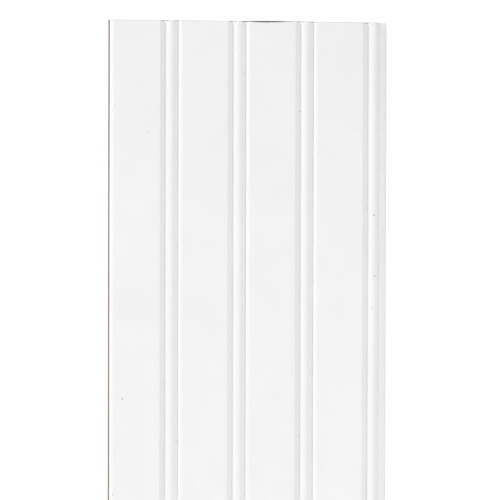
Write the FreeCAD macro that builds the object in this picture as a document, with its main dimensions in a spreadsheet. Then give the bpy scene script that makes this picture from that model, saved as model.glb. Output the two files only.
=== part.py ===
import FreeCAD, Part
import os

import Sketcher
from FreeCAD import Vector

# A tongue-and-groove beadboard panel, one machined board of painted fibreboard lying on its back.
# X runs across it from the grooved edge to the tongue, Y along it and Z up to the beaded face.
# The origin is on the back face, under the middle of the panel.

NODE = "beadboard_panel"

# Driving sizes, in millimetres
SIZES = {
    "board_length": 812.8,  # 32 inches, a height that wainscot boards are sold in
    "board_thickness": 7.94,  # 5/16 inch
    "bead_count": 4,
    "bead_pitch": 33.08,  # kept across the joint, from the last bead to the next board's first
    "bead_width": 6.2,  # between the feet of the bead
    "bead_drop": 0.05,  # crown of the bead below the face
    "quirk_depth": 1.05,  # feet of the bead below the face
    "quirk_width": 0.3,  # flat bottom on each side of the bead
    "slope_width": 2.05,  # straight fall from the face to the first quirk
    "shoulder_width": 2.15,  # round that climbs back to the face, as on the grooved edge
    "joint_gap": 0.56,  # left open between two boards, so that the joint looks like one more quirk
    "edge_bead_trim": 0.6,  # what the tongue side takes off its last bead
    "tongue_length": 3.97,  # 5/32 inch
    "tongue_thickness": 3.18,  # 1/8 inch
    "tongue_nose": 0.8,  # radius on the two corners of the tongue
    "groove_clearance": 0.15,  # play above the tongue in the groove, and below it
}

# Expressions that several sections share
COVER = "(sizes.bead_count * sizes.bead_pitch - sizes.joint_gap)"
FACE = "sizes.board_thickness"
MIDDLE = "sizes.board_thickness / 2"
FEET = "sizes.board_thickness - sizes.quirk_depth"

# Document and sheet of sizes
doc = FreeCAD.newDocument("beadboard")
sheet = doc.addObject("Spreadsheet::Sheet", "sizes")
for row, (alias, value) in enumerate(SIZES.items(), start=1):
    sheet.set(f"A{row}", alias)
    sheet.set(f"B{row}", str(value))
    sheet.setAlias(f"B{row}", alias)
doc.recompute()

body = doc.addObject("PartDesign::Body", NODE)
body.Label = NODE


def origin_feature(role):
    """The body's own origin plane or axis of that role."""
    return next(item for item in body.Origin.OriginFeatures if item.Role == role)


def arc_between(start, end, centre):
    """The arc under half a turn from start to end, and the numbers of its ends in that order."""
    spoke_start = start - centre
    spoke_end = end - centre
    circle = Part.Circle(centre, Vector(0, 0, 1), spoke_start.Length)
    if spoke_start.cross(spoke_end).z > 0:
        return Part.ArcOfCircle(circle, circle.parameter(start), circle.parameter(end)), (1, 2)
    return Part.ArcOfCircle(circle, circle.parameter(end), circle.parameter(start)), (2, 1)


def arc_centre(start, end, axis, value):
    """Centre of an arc between two points, with one coordinate of it known."""
    chord = end - start
    reach = (end.dot(end) - start.dot(start)) / 2
    if axis == "X":
        return Vector(value, (reach - value * chord.x) / chord.y, 0)
    return Vector((reach - value * chord.y) / chord.x, value, 0)


def fix_point(sketch, label, geometry, end, axis, expression):
    """Hold one coordinate of a point at an expression of the sizes."""
    if expression == "0":
        axis_line = {"X": -2, "Y": -1}[axis]
        sketch.addConstraint(Sketcher.Constraint("PointOnObject", geometry, end, axis_line))
        return
    value = float(sketch.evalExpression(expression))
    constraint = Sketcher.Constraint("Distance" + axis, -1, 1, geometry, end, value)
    name = f"{label}_{axis.lower()}"
    sketch.renameConstraint(sketch.addConstraint(constraint), name)
    sketch.setExpression("Constraints." + name, expression)


def draw_section(name, corners, rounds=None):
    """A closed section across the board, measured from the grooved edge and the back face.

    corners gives each corner's (across, up) expressions, in order round the outline. rounds
    makes the side after a corner an arc and gives one coordinate of its centre.
    """
    rounds = rounds or {}
    sketch = body.newObject("Sketcher::SketchObject", name)
    sketch.AttachmentSupport = (origin_feature("XZ_Plane"), "")
    sketch.MapMode = "FlatFace"
    sketch.setExpression("AttachmentOffset.Base.x", f"-({COVER} + sizes.tongue_length) / 2")
    labels = list(corners)
    points = {
        label: Vector(*[float(sketch.evalExpression(item)) for item in corners[label]], 0)
        for label in labels
    }
    sides = []
    for label, following in zip(labels, labels[1:] + labels[:1]):
        start = points[label]
        end = points[following]
        side = Part.LineSegment(start, end)
        ends = (1, 2)
        if label in rounds:
            axis, expression = rounds[label]
            known = float(sketch.evalExpression(expression))
            side, ends = arc_between(start, end, arc_centre(start, end, axis, known))
        geometry = sketch.addGeometry(side, False)
        sides.append((geometry, ends))
        fix_point(sketch, label, geometry, ends[0], "X", corners[label][0])
        fix_point(sketch, label, geometry, ends[0], "Y", corners[label][1])
        if label in rounds:
            fix_point(sketch, label + "_centre", geometry, 3, axis, expression)
    for (one, one_ends), (two, two_ends) in zip(sides, sides[1:] + sides[:1]):
        sketch.addConstraint(Sketcher.Constraint("Coincident", one, one_ends[1], two, two_ends[0]))
    doc.recompute()
    return sketch


def run_along(feature_type, name, sketch):
    """Pad or pocket a section to both sides of the middle of the board."""
    feature = body.newObject("PartDesign::" + feature_type, name)
    feature.Profile = sketch
    feature.SideType = "Symmetric"
    if feature_type == "Pocket":
        feature.Type = "ThroughAll"
    else:
        feature.setExpression("Length", "sizes.board_length")
    doc.recompute()
    return feature


def require_change(feature, base, grows):
    """Stop where a feature left the board as it was, or worked the wrong way."""
    change = feature.Shape.Volume - base.Shape.Volume
    if (change > 0) != grows or change == 0:
        raise RuntimeError(f"{feature.Label} changed the volume by {change} cubic millimetres")
    print(f"{feature.Label}: {change:+.0f} cubic millimetres")


# The board, with the shoulder along its grooved edge
board = run_along(
    "Pad",
    "board",
    draw_section(
        "board_section",
        {
            "back_groove_side": ("0", "0"),
            "back_tongue_side": (COVER, "0"),
            "face_tongue_side": (COVER, FACE),
            "shoulder_end": ("sizes.shoulder_width", FACE),
            "shoulder_foot": ("0", FEET),
        },
        {"shoulder_end": ("X", "sizes.shoulder_width")},
    ),
)

# The tongue, in the middle of the thickness, with a rounded nose
TONGUE_LOW = f"{MIDDLE} - sizes.tongue_thickness / 2"
TONGUE_HIGH = f"{MIDDLE} + sizes.tongue_thickness / 2"
TONGUE_TIP = f"{COVER} + sizes.tongue_length"
NOSE_START = f"{TONGUE_TIP} - sizes.tongue_nose"
tongue = run_along(
    "Pad",
    "tongue",
    draw_section(
        "tongue_section",
        {
            "root_low": (COVER, TONGUE_LOW),
            "nose_low": (NOSE_START, TONGUE_LOW),
            "tip_low": (TONGUE_TIP, f"{TONGUE_LOW} + sizes.tongue_nose"),
            "tip_high": (TONGUE_TIP, f"{TONGUE_HIGH} - sizes.tongue_nose"),
            "nose_high": (NOSE_START, TONGUE_HIGH),
            "root_high": (COVER, TONGUE_HIGH),
        },
        {"nose_low": ("X", NOSE_START), "tip_high": ("X", NOSE_START)},
    ),
)
require_change(tongue, board, grows=True)

# The groove that takes the next board's tongue. It is shallower than the tongue is long, so the
# tongue seats on its bottom and holds the joint open.
GROOVE_LOW = f"{TONGUE_LOW} - sizes.groove_clearance"
GROOVE_HIGH = f"{TONGUE_HIGH} + sizes.groove_clearance"
GROOVE_BOTTOM = "sizes.tongue_length - sizes.joint_gap"
groove = run_along(
    "Pocket",
    "groove",
    draw_section(
        "groove_section",
        {
            "mouth_low": ("0", GROOVE_LOW),
            "bottom_low": (GROOVE_BOTTOM, GROOVE_LOW),
            "bottom_high": (GROOVE_BOTTOM, GROOVE_HIGH),
            "mouth_high": ("0", GROOVE_HIGH),
        },
    ),
)
require_change(groove, tongue, grows=False)

# One bead as the moulding cutter leaves it: straight slope, bead between flat quirks, round shoulder.
# The cutter reaches as far above the face as below it.
BEAD_END = "sizes.bead_pitch - sizes.joint_gap + sizes.edge_bead_trim"
BEAD_START = f"{BEAD_END} - sizes.bead_width"
SLOPE_END = f"{BEAD_START} - sizes.quirk_width"
SLOPE_START = f"{SLOPE_END} - sizes.slope_width"
QUIRK_END = f"{BEAD_END} + sizes.quirk_width"
SHOULDER_END = f"{QUIRK_END} + sizes.shoulder_width"
CUTTER_TOP = f"{FACE} + sizes.quirk_depth"
BEAD_RISE = "(sizes.quirk_depth - sizes.bead_drop)"
BEAD_RADIUS = f"((sizes.bead_width / 2) ^ 2 + {BEAD_RISE} ^ 2) / (2 * {BEAD_RISE})"
bead = run_along(
    "Pocket",
    "bead",
    draw_section(
        "bead_section",
        {
            "slope_start": (SLOPE_START, FACE),
            "slope_end": (SLOPE_END, FEET),
            "bead_start": (BEAD_START, FEET),
            "bead_end": (BEAD_END, FEET),
            "quirk_end": (QUIRK_END, FEET),
            "shoulder_end": (SHOULDER_END, FACE),
            "cutter_far": (SHOULDER_END, CUTTER_TOP),
            "cutter_near": (SLOPE_START, CUTTER_TOP),
        },
        {
            "bead_start": ("Y", f"{FACE} - sizes.bead_drop - {BEAD_RADIUS}"),
            "quirk_end": ("X", SHOULDER_END),
        },
    ),
)
require_change(bead, groove, grows=False)

# The row of beads: the last one runs off the tongue side and is trimmed there
beads = body.newObject("PartDesign::LinearPattern", "beads")
beads.Originals = [bead]
beads.Direction = (origin_feature("X_Axis"), [""])
beads.Mode = "Spacing"
beads.setExpression("Offset", "sizes.bead_pitch")
beads.setExpression("Occurrences", "sizes.bead_count")
body.Tip = beads
doc.recompute()
require_change(beads, bead, grows=False)

# Nothing is written unless every object of the document is sound
for item in doc.Objects:
    if {"Invalid", "Error"} & set(item.State):
        raise RuntimeError(f"{item.Label} failed: {item.State}")
panel = body.Shape
if panel.isNull() or not panel.isValid() or len(panel.Solids) != 1:
    raise RuntimeError("the panel is not one valid solid")
box = panel.BoundBox
print(f"panel {box.XLength:.2f} x {box.YLength:.2f} x {box.ZLength:.2f} mm, {panel.Volume:.0f} cubic mm")

os.makedirs("parts", exist_ok=True)
panel.exportStep(f"parts/{NODE}.step")
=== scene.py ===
# %% [markdown]
# # A beadboard panel, from section to finish
# The real thing is one long board of fibreboard. A moulding machine cuts beads along its face, a
# groove into one edge and a tongue onto the other, a sprayer paints the face white, and a saw cuts
# the board to length, which leaves the ends raw.
#
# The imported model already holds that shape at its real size. This lesson gives it the look: it
# draws the same section again, softens it as sanding and paint do, sweeps it along the board, and
# then paints it with one material that knows where the white paint stops.

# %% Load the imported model
import math

import bmesh
import bpy
import numpy as np
from mathutils import Matrix, Vector


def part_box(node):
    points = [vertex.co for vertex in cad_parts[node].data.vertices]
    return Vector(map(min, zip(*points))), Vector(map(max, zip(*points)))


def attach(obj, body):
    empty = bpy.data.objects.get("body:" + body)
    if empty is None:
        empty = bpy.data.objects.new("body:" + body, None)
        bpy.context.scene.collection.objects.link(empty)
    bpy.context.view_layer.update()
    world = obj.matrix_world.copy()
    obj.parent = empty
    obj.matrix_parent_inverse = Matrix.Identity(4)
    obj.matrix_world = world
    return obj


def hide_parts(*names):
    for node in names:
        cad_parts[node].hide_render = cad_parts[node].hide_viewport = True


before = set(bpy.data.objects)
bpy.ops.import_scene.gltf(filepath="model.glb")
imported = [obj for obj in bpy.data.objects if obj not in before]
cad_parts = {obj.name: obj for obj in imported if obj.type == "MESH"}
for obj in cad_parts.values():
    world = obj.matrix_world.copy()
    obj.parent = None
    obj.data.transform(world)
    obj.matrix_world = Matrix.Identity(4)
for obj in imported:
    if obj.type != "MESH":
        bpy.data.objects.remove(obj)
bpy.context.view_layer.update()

NODE = "beadboard_panel"
board_low, board_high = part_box(NODE)
MM = 0.001
LENGTH = board_high[1] - board_low[1]
THICKNESS = board_high[2] - board_low[2]
WIDTH = board_high[0] - board_low[0]
print(f"board {WIDTH / MM:.1f} x {LENGTH / MM:.1f} x {THICKNESS / MM:.2f} mm")

# %% [markdown]
# ## The section
# Everything that makes this board a beadboard is in its section, so the section is drawn first, as
# a row of strokes: straight lines and arcs, walked once round the board. It could be traced from
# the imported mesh, but that mesh has only a few flats to each curve. Drawing the arcs from the same
# few sizes that the maker works to gives them as many points as the light needs.

# %% Sizes of the moulding
BEADS = 4
BEAD_PITCH = 33.08 * MM
BEAD_WIDTH = 6.2 * MM
BEAD_DROP = 0.05 * MM  # crown below the face
QUIRK_DEPTH = 1.05 * MM  # feet of the bead below the face
QUIRK_WIDTH = 0.3 * MM  # flat bottom on each side of the bead
SLOPE_WIDTH = 2.05 * MM
SHOULDER_WIDTH = 2.15 * MM
JOINT_GAP = 0.56 * MM  # left open between two boards
EDGE_BEAD_TRIM = 0.6 * MM  # what the tongue side takes off its last bead
TONGUE_THICKNESS = 3.18 * MM
TONGUE_NOSE = 0.8 * MM  # radius
GROOVE_CLEARANCE = 0.15 * MM
COVER = BEADS * BEAD_PITCH - JOINT_GAP
TONGUE_LENGTH = WIDTH - COVER
print(f"the face is {COVER / MM:.2f} mm wide and the tongue adds {TONGUE_LENGTH / MM:.2f} mm")

# %% Heights and radii
FACE = THICKNESS
FEET = FACE - QUIRK_DEPTH
MIDDLE = THICKNESS / 2
tongue_half = TONGUE_THICKNESS / 2
tongue_top = MIDDLE + tongue_half
groove_half = TONGUE_THICKNESS / 2 + GROOVE_CLEARANCE
groove_bottom = TONGUE_LENGTH - JOINT_GAP
bead_rise = QUIRK_DEPTH - BEAD_DROP
bead_radius = ((BEAD_WIDTH / 2) ** 2 + bead_rise**2) / (2 * bead_rise)
shoulder_radius = (SHOULDER_WIDTH**2 + QUIRK_DEPTH**2) / (2 * QUIRK_DEPTH)
print(f"radius of a bead {bead_radius / MM:.2f} mm, of a shoulder {shoulder_radius / MM:.2f} mm")

# %% Strokes
FINE = 0.04 * MM  # spacing of the points along every stroke


def straight(start, end):
    """Points from start up to, but not including, end."""
    start = np.array(start)
    end = np.array(end)
    count = max(2, round(np.linalg.norm(end - start) / FINE))
    return start + np.linspace(0, 1, count, endpoint=False)[:, None] * (end - start)


def sweep_round(centre, start, end):
    """Points on the arc about centre from start up to end, the short way round."""
    centre = np.array(centre)
    spoke = np.array(start) - centre
    target = np.array(end) - centre
    turn = math.atan2(spoke[0] * target[1] - spoke[1] * target[0], spoke @ target)
    count = max(2, round(abs(turn) * np.linalg.norm(spoke) / FINE))
    angles = math.atan2(spoke[1], spoke[0]) + turn * np.linspace(0, 1, count, endpoint=False)
    return centre + np.linalg.norm(spoke) * np.stack([np.cos(angles), np.sin(angles)], axis=1)


print(f"each stroke has a point every {FINE / MM:.2f} mm")

# %% [markdown]
# The walk starts at the back of the grooved edge and goes up that edge, over the beads from left
# to right, round the tongue and home along the back. Beside each stroke goes a word for the kind of
# surface that it is on, which the finish uses later: paint, or overspray, where paint only drifted,
# or bare fibreboard, which is either cut by the moulding machine or the plain back of the board.

# %% Grooved edge
def shoulder(foot):
    """The rounding that climbs from the foot of a quirk to the face."""
    top = (foot + SHOULDER_WIDTH, FACE)
    return sweep_round((top[0], FACE - shoulder_radius), (foot, FEET), top), "paint"


def edge_strokes():
    """The grooved edge, up to the start of the face."""
    low = MIDDLE - groove_half
    high = MIDDLE + groove_half
    return [
        (straight((0, 0), (0, low)), "cut"),
        (straight((0, low), (groove_bottom, low)), "cut"),
        (straight((groove_bottom, low), (groove_bottom, high)), "cut"),
        (straight((groove_bottom, high), (0, high)), "cut"),
        (straight((0, high), (0, FEET)), "cut"),
        shoulder(0),
    ]


print(f"the grooved edge has {len(edge_strokes())} strokes")


# %% One bead
def bead_strokes(number):
    """Flat, slope, bead, quirks and shoulder of one bead, or as much as the tongue side leaves."""
    end = number * BEAD_PITCH - JOINT_GAP + EDGE_BEAD_TRIM
    start = end - BEAD_WIDTH
    slope_end = start - QUIRK_WIDTH
    arris = slope_end - SLOPE_WIDTH
    flat_start = SHOULDER_WIDTH if number == 1 else end + QUIRK_WIDTH + SHOULDER_WIDTH - BEAD_PITCH
    crown_centre = (start + BEAD_WIDTH / 2, FACE - BEAD_DROP - bead_radius)
    strokes = [
        (straight((flat_start, FACE), (arris, FACE)), "paint"),
        (straight((arris, FACE), (slope_end, FEET)), "paint"),
        (straight((slope_end, FEET), (start, FEET)), "paint"),
    ]
    if end > COVER:
        climb = math.sqrt(bead_radius**2 - (COVER - crown_centre[0]) ** 2)
        cut = (COVER, crown_centre[1] + climb)
        return strokes + [
            (sweep_round(crown_centre, (start, FEET), cut), "paint"),
            (straight(cut, (COVER, tongue_top)), "paint"),
        ]
    return strokes + [
        (sweep_round(crown_centre, (start, FEET), (end, FEET)), "paint"),
        (straight((end, FEET), (end + QUIRK_WIDTH, FEET)), "paint"),
        shoulder(end + QUIRK_WIDTH),
    ]


print(f"a bead has {len(bead_strokes(1))} strokes, and the last one {len(bead_strokes(BEADS))}")


# %% Tongue and back
def tongue_strokes():
    """Over the tongue, round its nose, and home along the back."""
    high = tongue_top
    low = MIDDLE - tongue_half
    tip = COVER + TONGUE_LENGTH
    nose = tip - TONGUE_NOSE
    return [
        (straight((COVER, high), (nose, high)), "paint"),
        (sweep_round((nose, high - TONGUE_NOSE), (nose, high), (tip, high - TONGUE_NOSE)), "paint"),
        (straight((tip, high - TONGUE_NOSE), (tip, low + TONGUE_NOSE)), "overspray"),
        (sweep_round((nose, low + TONGUE_NOSE), (tip, low + TONGUE_NOSE), (nose, low)), "cut"),
        (straight((nose, low), (COVER, low)), "cut"),
        (straight((COVER, low), (COVER, 0)), "cut"),
        (straight((COVER, 0), (0, 0)), "back"),
    ]


print(f"the tongue and the back have {len(tongue_strokes())} strokes")

# %% Walk round the section
strokes = edge_strokes()
for number in range(1, BEADS + 1):
    strokes += bead_strokes(number)
strokes += tongue_strokes()
outline = np.concatenate([points for points, kind in strokes])
kinds = [kind for points, kind in strokes for point in points]
print(f"{len(strokes)} strokes, {len(outline)} points, girth {len(outline) * FINE / MM:.0f} mm")

# %% [markdown]
# ## Sanding and paint
# No arris on a painted board is a perfect corner: the sander takes it down and the paint fills the
# inside corners. A bevel on each edge could fake that, but here the outline itself is blurred along
# its own length. A blur leaves flats flat and wide curves as they were, and it rounds each corner by
# about the width of the blur.

# %% Soften the outline
SOFTNESS = 0.07 * MM
BELL_REACH = 3  # in widths, beyond which a bell curve adds next to nothing


def blurred(values, width):
    """A closed row of values, each averaged with its neighbours by a bell curve."""
    reach = math.ceil(BELL_REACH * width / FINE)
    steps = np.arange(-reach, reach + 1)
    weights = np.exp(-0.5 * (steps * FINE / width) ** 2)
    weights /= weights.sum()
    return sum(w * np.roll(values, -s, axis=0) for s, w in zip(steps, weights))


soft_outline = blurred(outline, SOFTNESS)
moved = np.linalg.norm(soft_outline - outline, axis=1).max()
print(f"the sharpest corner moved by {moved / MM:.3f} mm")

# %% [markdown]
# Paint reaches the raw edge as a mist that thins out. The cover could be brushed on by hand with
# weight paint, but the words of the walk already know where it goes: they become a number, the cover
# of paint, that a blur lets fall softly from one to nothing. The words also tell which strokes the
# cutter has rubbed. Both are kept as attributes of the mesh later, where the material can read them.

# %% Cover of paint along the outline
PAINT_COVER = {"paint": 1.0, "overspray": 0.5, "cut": 0.0, "back": 0.0}
RUBBED_KINDS = ("cut", "overspray")
OVERSPRAY_FADE = 0.25 * MM

cover = blurred(np.array([PAINT_COVER[kind] for kind in kinds]), OVERSPRAY_FADE)
rubbed = np.array([1.0 if kind in RUBBED_KINDS else 0.0 for kind in kinds])
print(f"paint covers {cover.mean():.0%} of the girth")

# %% [markdown]
# ## Dust and painted shade in the corners
# Dust stays where a cloth can't reach, in the inside corners beside the beads and at the foot of the
# tongue, and the same grey there is also painted shade where light falls short in those corners. The
# material could look for corners by itself while it renders, but here a wider blur finds them once:
# it pulls the outline outwards there, and the more the sharper the corner is. The pull, as a share of
# what a square corner gives, is kept for the material. On the tongue a painted shade lies wider, as a
# dark line beside the last bead, so it is added by a bell curve.

# %% Find the inside corners
SHADE_AND_DUST_REACH = 0.15 * MM


def outward_of(points):
    """Unit vectors that point out of a closed outline, walked with the board on its right."""
    tangent = np.roll(points, -1, axis=0) - np.roll(points, 1, axis=0)
    out = np.stack([-tangent[:, 1], tangent[:, 0]], axis=1)
    return out / np.linalg.norm(out, axis=1)[:, None]


pull = np.sum((blurred(outline, SHADE_AND_DUST_REACH) - soft_outline) * outward_of(soft_outline), axis=1)
square_pull = SHADE_AND_DUST_REACH / math.sqrt(math.pi)
# share of dust and painted shade: the grey in the inside corners is partly painted shade
corner_dust_and_shade = np.clip(pull / square_pull, 0, 1) * cover
print(f"the inside corners pull the outline by up to {pull.max() / MM:.3f} mm")

# %% Painted shade along the root of the tongue
ROOT_SHADE = 1.0  # share of what lies in a square corner
ROOT_SHADE_WIDTH = 0.32 * MM
SEEN_DUST_AND_SHADE = 0.1  # least share that shows

from_root = soft_outline[:, 0] - COVER
on_tongue_top = (from_root > 0) & (np.abs(soft_outline[:, 1] - tongue_top) < SOFTNESS)
# a painted shade line along the root of the tongue, beside the last bead
root_shade = ROOT_SHADE * np.exp(-((from_root / ROOT_SHADE_WIDTH) ** 2)) * on_tongue_top
dust_and_shade = np.maximum(corner_dust_and_shade, root_shade)
print(f"dust lies on {np.mean(dust_and_shade > SEEN_DUST_AND_SHADE):.0%} of the girth")

# %% [markdown]
# ## Nicks
# A board that has been handled carries a few nicks in its paint, on the beads, in the hollows and on
# the flats. Spots of colour could stand for them, but a nick has a depth that catches the light, so
# they are pressed into the mesh. Those near the far end are listed one by one, measured across from the
# grooved edge and down from the sawn end. The rest of the length gets a few more by chance, from a
# fixed seed, so that they fall in the same places each time.

# %% Nicks listed one by one
HAND_NICKS = [  # across, down from the far end, radius, in millimetres
    (6.4, 184.2, 0.47),
    (1.6, 230.9, 0.36),
    (2.7, 41.4, 0.26),
    (19.1, 54.3, 0.30),
    (32.9, 109.8, 0.23),
    (32.9, 205.2, 0.26),
    (65.5, 26.5, 0.30),
    (65.3, 151.4, 0.30),
    (92.9, 44.3, 0.32),
    (92.6, 202.8, 0.29),
    (128.5, 140.5, 0.32),
    (129.5, 95.1, 0.46),
    (129.8, 124.9, 0.43),
    (134.8, 113.1, 0.28),
]
nicks = [(across * MM, LENGTH - down * MM, radius * MM) for across, down, radius in HAND_NICKS]
print(f"{len(nicks)} nicks placed by hand")

# %% Nicks by chance
CHANCE_SEED = 7
CHANCE_NICKS = 6
CHANCE_SPREAD = 2.5 * MM  # on both sides of a crown
CHANCE_STRETCH = (0.02, 0.68)  # shares of the length, from the near end
CHANCE_RADIUS = (0.25, 0.4)  # millimetres

chance = np.random.default_rng(CHANCE_SEED)
for _ in range(CHANCE_NICKS):
    crown = chance.integers(1, BEADS + 1) * BEAD_PITCH - JOINT_GAP + EDGE_BEAD_TRIM - BEAD_WIDTH / 2
    across = crown + chance.normal(0, CHANCE_SPREAD)
    nicks.append((across, chance.uniform(*CHANCE_STRETCH) * LENGTH, chance.uniform(*CHANCE_RADIUS) * MM))
print(f"{len(nicks)} nicks with those by chance")

# %% [markdown]
# ## Thinning the outline
# The outline now has thousands of points, most of them in a straight line with their neighbours.
# Blender's Decimate could thin the finished mesh, but it doesn't know what is still to come. Here a
# point is kept where the line starts or stops bending, after every few degrees of turn, and every
# so often on a long straight run, or much closer together where a nick or the dust and painted shade
# will need them.

# %% How far apart the points may be
LONG_STEP = 2.2 * MM
NICK_STEP = 0.3 * MM
NICK_REACH = 2.5  # in radii of the nick
CORNER_STEP = 0.12 * MM
# the trace below counts dust and painted shade together
DUST_AND_SHADE_TRACE = 0.02  # least share of dust that needs the close points
FULL_PAINT = 0.9  # cover above which a nick needs them


def longest_step(point, painted, dusty_and_shaded):
    """How far apart the kept points may be here: close together across a nick or in a corner."""
    if dusty_and_shaded > DUST_AND_SHADE_TRACE:
        return CORNER_STEP
    nicked = any(abs(point[0] - across) < NICK_REACH * radius for across, along, radius in nicks)
    return NICK_STEP if nicked and painted > FULL_PAINT else LONG_STEP


print(f"points are {CORNER_STEP / MM:.2f} to {LONG_STEP / MM:.2f} mm apart on straight runs")

# %% Thin the outline
MAX_TURN = math.radians(9)
LEAST_BEND = math.radians(0.15)  # a smaller one counts as straight


def thinned(points, painted, dusty_and_shaded):
    """Numbers of the points to keep: where the line starts to bend, as it bends, and on long runs."""
    ahead = np.roll(points, -1, axis=0) - points
    heading = np.unwrap(np.arctan2(ahead[:, 1], ahead[:, 0]))
    bend = np.abs(np.diff(heading, append=heading[-1]))
    curved = bend > LEAST_BEND
    kept = [0]
    turned = walked = 0.0
    for i in range(1, len(points)):
        turned += bend[i - 1]
        walked += FINE
        starts_or_ends = curved[i] != curved[i - 1] and walked > 2 * FINE
        too_long = walked > longest_step(points[i], painted[i], dusty_and_shaded[i])
        if turned > MAX_TURN or too_long or starts_or_ends:
            kept.append(i)
            turned = walked = 0.0
    return np.array(kept)


keep = thinned(soft_outline, cover, dust_and_shade)
section = soft_outline[keep]
section_cover = cover[keep]
section_dust_and_shade = dust_and_shade[keep]
section_rubbed = rubbed[keep]
outward = outward_of(section)
print(f"{len(section)} points are left of {len(soft_outline)}")

# %% [markdown]
# ## Rows along the board
# The board is the same section all along, so the section is copied in rows. An Array modifier could
# space them evenly, but a row is needed wherever something changes: at the two sawn ends, at each
# nick, and every so often between, so that no face is a long sliver. The evenly spaced rows are odd
# in number, so that one of them lies in the middle, where the flat pattern is cut later.

# %% Lay out the rows
ROW_STEP = 16 * MM
NICK_ROWS = np.array([-2.2, -1.3, -0.6, 0.0, 0.6, 1.3, 2.2])  # in radii of the nick
END_ROWS = np.array([0.8, 1.8, 3.2, 5.0]) * MM
CLOSEST = 0.08 * MM

even_rows = np.linspace(0, LENGTH, 2 * round(LENGTH / ROW_STEP / 2) + 1)
nick_rows = [along + step * radius for across, along, radius in nicks for step in NICK_ROWS]
more_rows = np.array(nick_rows + list(END_ROWS) + list(LENGTH - END_ROWS))
too_close = np.abs(more_rows[:, None] - even_rows[None]).min(axis=1) < CLOSEST
rows = np.sort(np.concatenate([even_rows, more_rows[~too_close]]))
print(f"{len(rows)} rows, {len(rows) * len(section)} points")

# %% [markdown]
# ## Sawn ends
# A saw breaks the paint a little where it comes through. A Bevel modifier would give an even bevel,
# which no saw leaves, so the last two rows at each end make a ragged one. It breaks deeper in the
# hollows, where the paint is thick, and along one stretch of the far end a sliver is gone.

# %% Ragged break of the sawn ends
BREAK_LEAST = 0.05 * MM
BREAK_MOST = 0.16 * MM
HOLLOW_BREAK = 0.6 * MM
HOLLOW_FLOOR = FEET - 0.2 * MM
HOLLOW_RIM = FACE - 0.35 * MM
NEAR_SEED = 11
FAR_SEED = 12

on_face = section[:, 1] > FEET - SOFTNESS
between_edges = (section[:, 0] > SHOULDER_WIDTH) & (section[:, 0] < COVER - BEAD_WIDTH / 2)
hollow = between_edges & (section[:, 1] > HOLLOW_FLOOR) & (section[:, 1] < HOLLOW_RIM)


def ragged(seed):
    """How deep the saw broke the arris at each point of the section."""
    draw = np.random.default_rng(seed).random(len(section))
    smooth_draw = (draw + np.roll(draw, 1) + np.roll(draw, 2)) / 3
    on_paint = (BREAK_MOST - BREAK_LEAST) * smooth_draw * on_face + HOLLOW_BREAK * draw * hollow
    return BREAK_LEAST + on_paint


near_break = ragged(NEAR_SEED)
print(f"at the near end the saw broke the arris by up to {near_break.max() / MM:.2f} mm")

# %% Sliver lost at the far end
SLIVER = (63.5 * MM, 90.5 * MM)  # across, from and to
SLIVER_DEPTH = 0.4 * MM


def hump(across, stretch):
    """A smooth rise from nothing to one and back, over a stretch of the width."""
    share = np.clip((across - stretch[0]) / (stretch[1] - stretch[0]), 0, 1)
    return np.sin(math.pi * share)


sliver = hump(section[:, 0], SLIVER) * on_face
far_break = ragged(FAR_SEED) + SLIVER_DEPTH * sliver
print(f"at the far end the saw broke the arris by up to {far_break.max() / MM:.2f} mm")

# %% Bevels of the sawn ends
END_SOFTNESS = 0.22 * MM  # wide enough for the corners to take the bevel without folding over

end_section = blurred(outline, END_SOFTNESS)[keep]
end_outward = outward_of(end_section)
near_bevel = end_section - section - near_break[:, None] * end_outward
far_bevel = end_section - section - far_break[:, None] * end_outward
print(f"the far bevel steps in by up to {np.linalg.norm(far_bevel, axis=1).max() / MM:.2f} mm")

# %% [markdown]
# ## The mesh
# The points of every row go into one array, and each nick pushes the points near it inwards, deepest
# in its middle. How much of a nick a point feels is kept as an attribute too, because dirt settles
# there. bmesh could extrude the section row by row, but a plain list of points and faces is shorter
# here, and the faces follow from counting.

# %% Rows of points, with the nicks
NICK_DEPTH = 0.4  # in radii of the nick
NICK_COVER = 0.45  # least cover of paint in which a nick shows

count = len(section)
rings = np.repeat(section[None], len(rows), axis=0)
along = np.repeat(rows[:, None], count, axis=1)
painted = np.repeat(section_cover[None], len(rows), axis=0)
nicked = np.zeros_like(along)
for nick_across, nick_along, radius in nicks:
    spread = np.hypot(rings[:, :, 0] - nick_across, along - nick_along) / radius
    felt = np.exp(-(spread**2)) * (painted > NICK_COVER)
    nicked = np.maximum(nicked, felt)
    rings = rings - (NICK_DEPTH * radius * felt)[:, :, None] * outward
deepest = NICK_DEPTH * max(radius for across, along_board, radius in nicks)
print(f"{len(rings)} rows of {count} points, the deepest nick {deepest / MM:.2f} mm")

# %% [markdown]
# The tongue is thin, and its far corner is a little worn. The bevelled rows are then added, one at
# each end.

# %% Worn corner and bevelled ends
CORNER_WEAR = 0.5 * MM
CORNER_RUN = 6 * MM

near_corner = np.clip(1 - (LENGTH - along) / CORNER_RUN, 0, 1) ** 2
on_tongue = np.clip((rings[:, :, 0] - COVER) / TONGUE_LENGTH, 0, 1)
rings[:, :, 0] -= CORNER_WEAR * near_corner * on_tongue
along[0] = near_break
along[-1] = LENGTH - far_break
near_ring = rings[0] + near_bevel
far_ring = rings[-1] + far_bevel
rings = np.concatenate([near_ring[None], rings, far_ring[None]])
along = np.concatenate([np.zeros((1, count)), along, np.full((1, count), LENGTH)])
print(f"{len(rings)} rows with the bevelled ends")

# %% [markdown]
# What the finish has to know is written down for the new rows as well: a sawn end carries no paint,
# no dust, no painted shade and no mark of the cutter, and the paint has gone thin where the sliver was
# lost.

# %% Notes for the finish
SLIVER_PAINT_LOSS = 0.75

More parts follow.
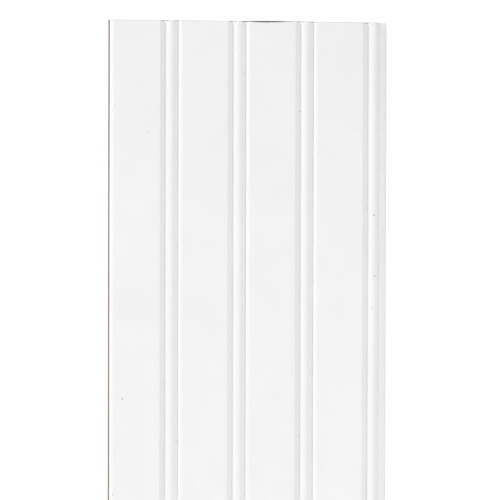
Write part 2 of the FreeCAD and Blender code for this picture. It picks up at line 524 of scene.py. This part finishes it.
raw_row = np.zeros((1, count))
painted[-1] -= SLIVER_PAINT_LOSS * sliver
painted = np.concatenate([raw_row, painted, raw_row])
nicked = np.concatenate([raw_row, nicked, raw_row])
dusty_and_shaded = np.repeat(section_dust_and_shade[None], len(rings), axis=0)
burnished = np.repeat(section_rubbed[None], len(rings), axis=0)
dusty_and_shaded[[0, -1]] = 0
burnished[[0, -1]] = 0
surface_notes = {"paint_cover": painted, "nicked": nicked, "dusty_and_shaded": dusty_and_shaded, "burnished": burnished}
print(f"notes on each point: {', '.join(surface_notes)}")

# %% [markdown]
# The far cut is not quite square: the tongue side came out shorter, and the third flat a little
# proud. The rows near that end lean with it, less and less, so that no row crosses another.

# %% Far cut out of square
OUT_OF_SQUARE = 1.25 * MM  # over the width of the board
SQUARE_RUN = 20 * MM  # stretch of the rows that leans with the far cut
PROUD = (62 * MM, 104 * MM)  # across, from and to
PROUD_BY = 0.25 * MM

near_far_cut = np.clip(1 - (LENGTH - along) / SQUARE_RUN, 0, 1)
cut_back = OUT_OF_SQUARE * rings[:, :, 0] / WIDTH - PROUD_BY * hump(rings[:, :, 0], PROUD)
along -= cut_back * near_far_cut
points = np.stack([rings[:, :, 0], along, rings[:, :, 1]], axis=2).reshape(-1, 3)
points += np.array(board_low)
print(f"{len(points)} points in {len(rings)} rows of {count}")

# %% Faces of the mesh
SHARP = math.radians(38)

row_start = np.arange(len(rings) - 1)[:, None] * count
this_point = row_start + np.arange(count)[None]
next_point = row_start + (np.arange(count)[None] + 1) % count
quads = np.stack([this_point, next_point, next_point + count, this_point + count], axis=2)
near_cap = list(range(count))[::-1]
far_cap = list(range(len(points) - count, len(points)))
faces = quads.reshape(-1, 4).tolist() + [near_cap, far_cap]
rounded = [True] * quads[:, :, 0].size + [False, False]

board_mesh = bpy.data.meshes.new("painted_board")
board_mesh.from_pydata(points.tolist(), [], faces)
board_mesh.polygons.foreach_set("use_smooth", rounded)
board_mesh.set_sharp_from_angle(angle=SHARP)
for name, values in surface_notes.items():
    attribute = board_mesh.attributes.new(name, "FLOAT", "POINT")
    attribute.data.foreach_set("value", values.ravel().astype(np.float32))
print(f"{len(faces)} faces, {sum(len(face) - 2 for face in faces)} triangles")

# %% The board as a piece
board = bpy.data.objects.new("painted_board", board_mesh)
bpy.context.collection.objects.link(board)
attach(board, "root")
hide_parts(NODE)
print(f"{board.name} stands for {NODE}")

# %% [markdown]
# ## A flat pattern of the board
# When the finish is baked into pictures, each face needs its own place on a flat square. Blender can
# unwrap by itself, but a long thin board leaves most of such a square empty. Like a paper pattern,
# this one cuts the board across its middle, lays the two beaded halves and one half of the back side
# by side, and turns the other half of the back to lie above them, with the two ends in the corner.

# %% Measure the pattern
PATTERN_GAP = 2 * MM

strides = np.linalg.norm(np.roll(section, -1, axis=0) - section, axis=1)
girth = np.concatenate([[0], np.cumsum(strides)])
back_start = int(np.argmax((section[:, 0] > COVER / 2) & (section[:, 1] < SOFTNESS / 2)))
front_width = girth[back_start]
back_width = girth[-1] - front_width
half_length = LENGTH / 2
second_column = front_width + PATTERN_GAP
third_column = 2 * second_column
upper_row = half_length + PATTERN_GAP
ends_column = half_length + PATTERN_GAP
far_end_row = upper_row + 2 * THICKNESS
square = max(third_column, upper_row, ends_column + WIDTH - back_width) + back_width + PATTERN_GAP
print(f"the pattern is {square / MM:.0f} mm square")

# %% Lay the faces on the pattern
ring_number = np.arange(len(rings) - 1)[:, None, None]
point_number = np.arange(count)[None, :, None]
far_half = ring_number >= np.argmin(np.abs(along[:, 0] - half_length))
of_back = point_number >= back_start
corner_girth = girth[point_number + np.array([0, 1, 1, 0])]
corner_along = along.ravel()[quads]
corner_back = corner_girth - front_width
front_u = corner_girth + second_column * far_half
back_u = np.where(far_half, LENGTH - corner_along, third_column + corner_back)
length_v = corner_along - half_length * far_half
back_v = np.where(far_half, upper_row + corner_back, length_v)
side_uv = np.stack([np.where(of_back, back_u, front_u), np.where(of_back, back_v, length_v)], axis=3)
near_uv = (near_ring + np.array([ends_column, upper_row]))[::-1]
far_uv = far_ring * np.array([-1, 1]) + np.array([ends_column + WIDTH, far_end_row])
pattern = np.concatenate([side_uv.reshape(-1, 2), near_uv, far_uv]) + PATTERN_GAP / 2
flat_pattern = board_mesh.uv_layers.new(name="OFBake")
flat_pattern.data.foreach_set("uv", (pattern / square).ravel())
print(f"the pattern reaches from {pattern.min() / square:.3f} to {pattern.max() / square:.3f}")

# %% [markdown]
# ## Cutting up the ends
# Each sawn end is still one flat face with hundreds of corners. Blender draws such a face without
# complaint, but it cuts it up in its own way when the mesh is saved, with some slivers of no width.
# Its beauty method, asked for by name, finds well-shaped triangles instead.

# %% Triangles of the sawn ends
working_mesh = bmesh.new()
working_mesh.from_mesh(board_mesh)
ends = [face for face in working_mesh.faces if len(face.verts) == count]
cut_up = bmesh.ops.triangulate(working_mesh, faces=ends, ngon_method="BEAUTY")
working_mesh.to_mesh(board_mesh)
working_mesh.free()
print(f"{len(ends)} ends in {len(cut_up['faces'])} triangles")

# %% [markdown]
# ## The finish
# One material serves the whole board, because on the real one paint and raw fibre run into each
# other. Its nodes could be wired by hand in the shader editor. A helper that adds a node and links
# its inputs lets each layer of the finish read as a short list instead. All patterns are noise that
# is worked out on the spot, measured in millimetres on the board itself, so they have no seams.

# %% Helpers for nodes
def node(tree, kind, inputs, **settings):
    """Add a shader node, with each input linked to a socket or set to a value."""
    made = tree.nodes.new("ShaderNode" + kind)
    for name, value in settings.items():
        setattr(made, name, value)
    for key, value in inputs.items():
        if isinstance(value, bpy.types.NodeSocket):
            tree.links.new(value, made.inputs[key])
        else:
            made.inputs[key].default_value = value
    return made


def maths(tree, operation, first, second):
    """A sum, product or the like of two numbers."""
    return node(tree, "Math", {0: first, 1: second}, operation=operation).outputs[0]


def mixed_colour(tree, share, first, second):
    """A colour between two, by share of the second."""
    inputs = {0: share, 6: first, 7: second}
    return node(tree, "Mix", inputs, data_type="RGBA").outputs[2]


def mixed_number(tree, share, first, second):
    """A number between two, by share of the second."""
    return node(tree, "Mix", {0: share, 2: first, 3: second}).outputs[0]


def note(tree, name):
    """What the mesh has written down about each of its points."""
    return node(tree, "Attribute", {}, attribute_name=name).outputs["Fac"]


print("node helpers ready")

# %% Helpers for patterns
NOISE_MIDDLE = 0.5  # noise runs from 0 to 1 about this
WIDE_NOISE = (0.3, 0.7)  # nearly all of it lies in here
NARROW_NOISE = (0.35, 0.65)  # and most of it in here


def mottle(tree, place, size, detail=2.0, roughness=0.5):
    """Soft random blots about so many millimetres wide, from 0 to 1."""
    inputs = {"Vector": place, "Scale": 1 / size, "Detail": detail, "Roughness": roughness}
    return node(tree, "TexNoise", inputs).outputs["Fac"]


def ramp(tree, value, low, high, bottom=0.0, top=1.0):
    """A number that rises from bottom to top as value goes from low to high."""
    inputs = {"Value": value, 1: low, 2: high, 3: bottom, 4: top}
    return node(tree, "MapRange", inputs, interpolation_type="SMOOTHSTEP").outputs[0]


def stretched(tree, place, x, y, z):
    """The same place, measured with another ruler along each axis."""
    return node(tree, "VectorMath", {0: place, 1: (x, y, z)}, operation="MULTIPLY").outputs[0]


print("pattern helpers ready")

# %% [markdown]
# The white is a satin spray paint. It has a slight orange peel, a tint that drifts by about one part
# in a hundred over a hand's breadth, and grey specks where dust fell into it. One flat colour would
# do from afar, but it looks like plastic close up, so each of these gets a noise of its own.

# %% White paint
WHITE = (0.868, 0.868, 0.864, 1)
WARM_WHITE = (0.862, 0.856, 0.858, 1)
# grey of dust specks in the paint, and of the painted shade in the inside corners
DUST_AND_SHADE_GREY = (0.50, 0.49, 0.47, 1)
DRIFT_SIZE = 70  # millimetres, like all sizes and heights of the finish
SPECK_SIZE = 0.7
SPECK_NOISE = (0.80, 0.86)  # so high that few blots reach it
SPECK_SHARE = 0.35
SHEEN_SIZE = 12
SATIN = (0.40, 0.50)  # roughness, from and to
PEEL_SIZE = 1.6
PEEL_HEIGHT = 0.012


def white_paint(tree, place):
    """Colour, roughness and height of the sprayed white."""
    drift = ramp(tree, mottle(tree, place, DRIFT_SIZE), *NARROW_NOISE)
    colour = mixed_colour(tree, drift, WHITE, WARM_WHITE)
    specks = ramp(tree, mottle(tree, place, SPECK_SIZE, detail=1), *SPECK_NOISE, top=SPECK_SHARE)
    colour = mixed_colour(tree, specks, colour, DUST_AND_SHADE_GREY)
    roughness = ramp(tree, mottle(tree, place, SHEEN_SIZE, detail=4), *WIDE_NOISE, *SATIN)
    peel = mottle(tree, place, PEEL_SIZE, detail=1)
    return colour, roughness, maths(tree, "MULTIPLY", peel, PEEL_HEIGHT)


print("white paint ready")

# %% [markdown]
# Raw fibreboard is wood felt: pale and dark fibres pressed together. A plain brown would look like
# card, so two noises draw the fibres, each measured with a longer ruler along the board.

# %% Felt of fibres
PALE_FIBRE = (0.47, 0.35, 0.22, 1)
BROWN_FIBRE = (0.28, 0.19, 0.10, 1)
DARK_FIBRE = (0.12, 0.075, 0.04, 1)
FELT_SIZE = 0.9
FELT_RULER = (1, 0.35, 1.6)  # across, along, up
FLECK_SIZE = 0.6
FLECK_RULER = (1, 0.5, 2)
FLECK_NOISE = (0.62, 0.74)
FLECK_SHARE = 0.7


def felt_of_fibres(tree, place):
    """Colour of the pressed fibres, and the noise that they follow."""
    felt = mottle(tree, stretched(tree, place, *FELT_RULER), FELT_SIZE, detail=5, roughness=0.65)
    colour = mixed_colour(tree, ramp(tree, felt, *NARROW_NOISE), BROWN_FIBRE, PALE_FIBRE)
    fleck_noise = mottle(tree, stretched(tree, place, *FLECK_RULER), FLECK_SIZE, detail=3)
    flecks = maths(tree, "MULTIPLY", ramp(tree, fleck_noise, *FLECK_NOISE), FLECK_SHARE)
    return mixed_colour(tree, flecks, colour, DARK_FIBRE), felt


print("felt ready")

# %% [markdown]
# The cutter that made the long edges rubbed them darker than the back and the sawn ends, and they
# have taken an olive stain in places. The bare edges are also made darker towards the far end. A
# second material on those faces could show that, but the mesh has noted which points the cutter
# rubbed, and the finish reads that.

# %% Rubbed edges
OLIVE_STAIN = (0.18, 0.16, 0.075, 1)
BURNISHED = (0.125, 0.06, 0.02, 1)
FAR_END = LENGTH / 2 / MM
FAR_DARKENING_RUN = 260  # from the far end
BURNISHED_SHARE = (0.3, 0.95)  # beyond that run, and at the far end
STAIN_SIZE = 55
STAIN_NOISE = (0.45, 0.65)
STAIN_SHARE = 0.55
STAIN_ELSEWHERE = 0.15  # share of that on the back and the ends


def rubbed_edges(tree, place, colour):
    """The colour of bare board, made darker where the cutter rubbed it, darker still towards the far
    end, and stained.
    """
    cut_read = note(tree, "burnished")
    along_board = node(tree, "SeparateXYZ", {0: place}).outputs["Y"]
    # the bare edges get darker towards the far end
    share = ramp(tree, along_board, FAR_END - FAR_DARKENING_RUN, FAR_END, *BURNISHED_SHARE)
    colour = mixed_colour(tree, maths(tree, "MULTIPLY", cut_read, share), colour, BURNISHED)
    stain = ramp(tree, mottle(tree, place, STAIN_SIZE), *STAIN_NOISE, top=STAIN_SHARE)
    stain = maths(tree, "MULTIPLY", stain, mixed_number(tree, cut_read, STAIN_ELSEWHERE, 1.0))
    return mixed_colour(tree, stain, colour, OLIVE_STAIN)


print("rubbed edges ready")

# %% [markdown]
# The cutter also left fine streaks along the board. They are the same kind of noise, with so long a
# ruler along the board that each blot is drawn out to a line, and they only change the height.

# %% Raw fibreboard
STREAK_SIZE = 0.35
STREAK_RULER = (1, 0.02, 1)
STREAK_HEIGHT = 0.03
FIBRE_HEIGHT = 0.05
FIBRE_ROUGHNESS = 0.85


def raw_fibreboard(tree, place):
    """Colour, roughness and height of the bare board."""
    colour, felt = felt_of_fibres(tree, place)
    colour = rubbed_edges(tree, place, colour)
    streaks = mottle(tree, stretched(tree, place, *STREAK_RULER), STREAK_SIZE, detail=3)
    height = maths(tree, "MULTIPLY", felt, FIBRE_HEIGHT)
    height = maths(tree, "ADD", height, maths(tree, "MULTIPLY", streaks, STREAK_HEIGHT))
    return colour, FIBRE_ROUGHNESS, height


print("raw fibreboard ready")

# %% [markdown]
# The bare rim of the far end gets a painted shade: black along the arris, and fading out below it.
# A black line of faces would be too even, so the painted shade fades by height, and a noise moves
# its lower edge up and down.

# %% Painted shade on the far rim
# near black painted shade for the bare rim of the far end
RIM_SHADE = (0.03, 0.03, 0.029, 1)
RIM_SHADE_SHARE = 0.9
RIM_SHADE_RUN = 3  # from the far end
RIM_SHADE_START = 0.5  # over which it sets in
RIM_SHADE_DEPTH = 2.0  # below the face
RIM_SHADE_FADE = 1.3  # from clean to black
RIM_SHADE_WOBBLE = 1.6  # how far the smear moves its edge
RIM_WOBBLE_SIZE = 3


def far_rim_shading(tree, place):
    """How much painted shade lies on the bare rim of the far end, just below the face."""
    parts = node(tree, "SeparateXYZ", {0: place}).outputs
    clean_before = FAR_END - RIM_SHADE_RUN
    at_end = ramp(tree, parts["Y"], clean_before, clean_before + RIM_SHADE_START)
    rim_wobble = mottle(tree, place, RIM_WOBBLE_SIZE, detail=4, roughness=0.6)
    rim_wobble = maths(tree, "SUBTRACT", rim_wobble, NOISE_MIDDLE)
    height = maths(tree, "ADD", parts["Z"], maths(tree, "MULTIPLY", rim_wobble, RIM_SHADE_WOBBLE))
    clean_below = FACE / MM - RIM_SHADE_DEPTH
    at_face = ramp(tree, height, clean_below, clean_below + RIM_SHADE_FADE)
    return maths(tree, "MULTIPLY", maths(tree, "MULTIPLY", at_end, at_face), RIM_SHADE_SHARE)


print("grime ready")

# %% [markdown]
# Paint and fibre meet where the cover of paint falls away. Two materials would meet in a straight
# line of faces, so a little noise is added to the cover before it is cut off at about one half, which
# makes the ragged edge that a spray leaves. Dust and painted shade in the corners, and dirt in the
# nicks, lie on top of both.

# %% Edge of the paint, dust and painted shade, and dirt
MIST = 0.7
MIST_SIZE = 0.5
PAINT_EDGE = (0.42, 0.58)  # cover, from bare to painted
# the corners get dust and painted shade together
CORNER_DUST_AND_SHADE = 0.95  # share of dust in the sharpest corner
DUST_AND_SHADE_PATCH_SIZE = 9
DUST_AND_SHADE_PATCHES = (0.5, 1.0)  # from thin to thick
NICK_DIRT = (0.27, 0.24, 0.20, 1)
DIRTY_NICK = (0.3, 0.8)  # how much of a nick, from clean to dirty
DIRT_SHARE = 0.8


def painted_share(tree, place):
    """1 on paint and 0 on bare fibre, with a ragged edge between them."""
    cover_read = note(tree, "paint_cover")
    mist = maths(tree, "SUBTRACT", mottle(tree, place, MIST_SIZE, detail=3), NOISE_MIDDLE)
    mist = maths(tree, "MULTIPLY", mist, MIST)
    return ramp(tree, maths(tree, "ADD", cover_read, mist), *PAINT_EDGE)


def soiled_and_shaded(tree, place, colour):
    """A colour with dust and painted shade in the corners and dirt in the nicks."""
    patches = ramp(tree, mottle(tree, place, DUST_AND_SHADE_PATCH_SIZE), *WIDE_NOISE, *DUST_AND_SHADE_PATCHES)
    dust_and_shade_here = maths(tree, "MULTIPLY", note(tree, "dusty_and_shaded"), patches)
    # painted shade, with dust, darkens the inside corners
    colour = mixed_colour(tree, maths(tree, "MULTIPLY", dust_and_shade_here, CORNER_DUST_AND_SHADE), colour, DUST_AND_SHADE_GREY)
    dirt = ramp(tree, note(tree, "nicked"), *DIRTY_NICK, top=DIRT_SHARE)
    return mixed_colour(tree, dirt, colour, NICK_DIRT)


print("paint edge, dust and dirt ready")

# %% [markdown]
# The film of paint has a thickness of its own, so its edge is a tiny step in the height. The heights
# are too small to be worth points in the mesh, so a Bump node turns them into light and shade.

# %% Paint over fibre
FILM = 0.05
BUMP_RULER = 1 * MM  # one unit of height is a millimetre


def board_finish():
    """Paint over fibreboard; dust and painted shade in corners, painted shade on the far rim; dirty
    nicks.
    """
    finish = bpy.data.materials.new("painted_fibreboard")
    finish.use_nodes = True
    tree = finish.node_tree
    tree.nodes.clear()
    metres = node(tree, "TexCoord", {}).outputs["Object"]
    place = stretched(tree, metres, 1 / MM, 1 / MM, 1 / MM)
    covered = painted_share(tree, place)
    paint_colour, paint_roughness, paint_height = white_paint(tree, place)
    fibre_colour, fibre_roughness, fibre_height = raw_fibreboard(tree, place)
    # painted shade on the bare rim of the far end
    fibre_colour = mixed_colour(tree, far_rim_shading(tree, place), fibre_colour, RIM_SHADE)
    colour = soiled_and_shaded(tree, place, mixed_colour(tree, covered, fibre_colour, paint_colour))
    roughness = mixed_number(tree, covered, fibre_roughness, paint_roughness)
    height = mixed_number(tree, covered, fibre_height, maths(tree, "ADD", paint_height, FILM))
    bump = node(tree, "Bump", {"Height": height, "Distance": BUMP_RULER, "Strength": 1.0})
    inputs = {"Base Color": colour, "Roughness": roughness, "Normal": bump.outputs["Normal"]}
    shader = node(tree, "BsdfPrincipled", inputs)
    node(tree, "OutputMaterial", {"Surface": shader.outputs[0]})
    return finish


board_mesh.materials.append(board_finish())
print(f"the board is painted by {len(board_mesh.materials[0].node_tree.nodes)} nodes")

# %% [markdown]
# ## Floor and backdrop
# The board lies on a white sweep of paper that the camera sees as pure white, but which still takes
# the board's shadow. A white world alone would give the white but no shadow, and more light on the
# paper would wash out the board. Light Path tells the camera's own rays apart: for those, and for
# reflections, the paper glows a little, and for all other light it is plain white paper.

# %% White paper
PURE_WHITE = (1, 1, 1, 1)
PAPER = (0.8, 0.8, 0.8, 1)
LIT = (0.2, 0.2, 0.2, 1)  # what the glow leaves for the shadow to darken
GLOW = 0.9


def seen_rays(tree):
    """1 for the camera's rays and for those of reflections and glass, 0 for other light."""
    rays = node(tree, "LightPath", {}).outputs
    seen = maths(tree, "MAXIMUM", rays["Is Camera Ray"], rays["Is Glossy Ray"])
    return maths(tree, "MAXIMUM", seen, rays["Is Transmission Ray"])


def white_paper():
    """Paper that is white to the camera and plain to all other light."""
    paper = bpy.data.materials.new("white_paper")
    paper.use_nodes = True
    tree = paper.node_tree
    tree.nodes.clear()
    glow = node(tree, "Emission", {"Color": PURE_WHITE, "Strength": GLOW}).outputs[0]
    lit = node(tree, "BsdfDiffuse", {"Color": LIT}).outputs[0]
    plain = node(tree, "BsdfDiffuse", {"Color": PAPER}).outputs[0]
    bright = node(tree, "AddShader", {0: glow, 1: lit}).outputs[0]
    shown = node(tree, "MixShader", {0: seen_rays(tree), 1: plain, 2: bright}).outputs[0]
    node(tree, "OutputMaterial", {"Surface": shown})
    return paper


print("white paper ready")

# %% Paper floor
FLOOR_SIZE = 40
FLOOR_GAP = 0.1 * MM

half_floor = FLOOR_SIZE / 2
corners = [(-1, -1), (1, -1), (1, 1), (-1, 1)]
floor_points = [(x * half_floor, y * half_floor, board_low[2] - FLOOR_GAP) for x, y in corners]
floor_mesh = bpy.data.meshes.new("paper_floor")
floor_mesh.from_pydata(floor_points, [], [(0, 1, 2, 3)])
floor_mesh.materials.append(white_paper())
floor = bpy.data.objects.new("paper_floor", floor_mesh)
bpy.context.collection.objects.link(floor)
print(f"floor of {FLOOR_SIZE} m")

# %% [markdown]
# ## Light
# Most of the light is the even glow of a white room and of a soft box over the middle of the board,
# so the greys stay pale. The beads show because of a low window on the grooved side: it whitens the
# left of each bead and leaves the slopes grey. The window is beyond the far end, and a fill on the
# other side near the near end, so the beads stand out most at the far end. Both are kept out of
# reflections, because seen from the side their glare would wash out the face. Powers could be tried
# out by eye, but here each lamp's power is worked out from the share of white that it should give a
# flat surface where it points.

# %% White room
ROOM_LEVEL = 0.478

room = bpy.data.worlds.new("white_room")
bpy.context.scene.world = room
room.use_nodes = True
room.node_tree.nodes.clear()
room_light = node(room.node_tree, "Background", {"Color": PURE_WHITE, "Strength": ROOM_LEVEL})
room_white = node(room.node_tree, "Background", {"Color": PURE_WHITE, "Strength": 1.0})
room_inputs = {0: seen_rays(room.node_tree), 1: room_light.outputs[0], 2: room_white.outputs[0]}
room_shown = node(room.node_tree, "MixShader", room_inputs).outputs[0]
node(room.node_tree, "OutputWorld", {"Surface": room_shown})
print(f"room light {ROOM_LEVEL}")


# %% A soft lamp
def soft_lamp(name, target, direction, distance, width, level):
    """A square lamp that gives a flat surface at the target about that share of white."""
    direction = Vector(direction).normalized()
    lamp_data = bpy.data.lights.new(name, "AREA")
    lamp_data.shape = "SQUARE"
    lamp_data.size = width
    lamp_data.energy = level * math.pi**2 * distance**2 / direction.z
    lamp = bpy.data.objects.new(name, lamp_data)
    lamp.location = Vector(target) + direction * distance
    lamp.rotation_euler = direction.to_track_quat("Z", "Y").to_euler()
    lamp.visible_camera = False
    bpy.context.collection.objects.link(lamp)
    print(f"{name}: {lamp_data.energy:.1f} W at {distance} m")
    return lamp


print("soft lamp ready")

# %% Lamps
WINDOW_AIM = 0.22  # metres along the board from its middle
FILL_AIM = 0.1

middle_of_face = (0, 0, board_high[2])
window_spot = (0, WINDOW_AIM, board_high[2])
fill_spot = (0, FILL_AIM, board_high[2])
soft_lamp("soft_box", middle_of_face, direction=(0, 0, 1), distance=1.5, width=1.2, level=0.416)
low_window = soft_lamp(
    "low_window", window_spot, direction=(-1, 0.6, 0.24), distance=2.2, width=0.24, level=0.11
)
fill = soft_lamp("fill", fill_spot, direction=(1, -0.6, 0.7), distance=1.2, width=0.8, level=0.097)
for lamp in (low_window, fill):
    lamp.visible_glossy = False
print(f"{low_window.name} and {fill.name} are kept out of reflections")

# %% [markdown]
# ## Camera
# The camera hangs high above the far end and looks almost straight down. It leans a little to the
# grooved side, so that the raw edge shows as a thin line, and less to the far end. A long lens from
# far away keeps the long edges almost parallel. A Track To constraint could aim it, but the three
# axes of the camera, worked out from the leans and a slight roll, place it exactly.

# %% Axes of the camera
LEAN_TO_GROOVE = math.radians(6.3)
LEAN_TO_FAR_END = math.radians(2.38)
ROLL = math.radians(0.148)

back_x = -math.sin(LEAN_TO_GROOVE) * math.cos(LEAN_TO_FAR_END)
back_y = math.sin(LEAN_TO_FAR_END)
back_z = math.cos(LEAN_TO_GROOVE) * math.cos(LEAN_TO_FAR_END)
backwards = Vector((back_x, back_y, back_z))
level_right = Vector((0, 1, 0)).cross(backwards).normalized()
level_up = backwards.cross(level_right)
right = level_right * math.cos(ROLL) + level_up * math.sin(ROLL)
up = level_up * math.cos(ROLL) - level_right * math.sin(ROLL)
print(f"the camera looks down {math.degrees(math.acos(backwards.z)):.1f} degrees off the upright")

# %% Long lens overhead
CAMERA_DISTANCE = 3.0
FRAME_WIDTH = 243.4 * MM  # what the picture takes in at the face
SENSOR_WIDTH = 36  # millimetres, as Blender gives lenses
AIM_ACROSS = 0.75 * MM  # from the middle of the board
AIM_DOWN = 111.85 * MM  # from the far end

aim = Vector((AIM_ACROSS, board_high[1] - AIM_DOWN, board_high[2]))
camera_data = bpy.data.cameras.new("overhead")
camera_data.sensor_width = SENSOR_WIDTH
camera_data.lens = camera_data.sensor_width * CAMERA_DISTANCE / FRAME_WIDTH
camera = bpy.data.objects.new("overhead", camera_data)
turned_camera = Matrix((right, up, backwards)).transposed().to_4x4()
camera.matrix_world = Matrix.Translation(aim + backwards * CAMERA_DISTANCE) @ turned_camera
bpy.context.collection.objects.link(camera)
bpy.context.scene.camera = camera
bpy.context.scene.view_settings.view_transform = "Standard"
print(f"lens of {camera_data.lens:.1f} mm")

# %% Update the scene
bpy.context.view_layer.update()
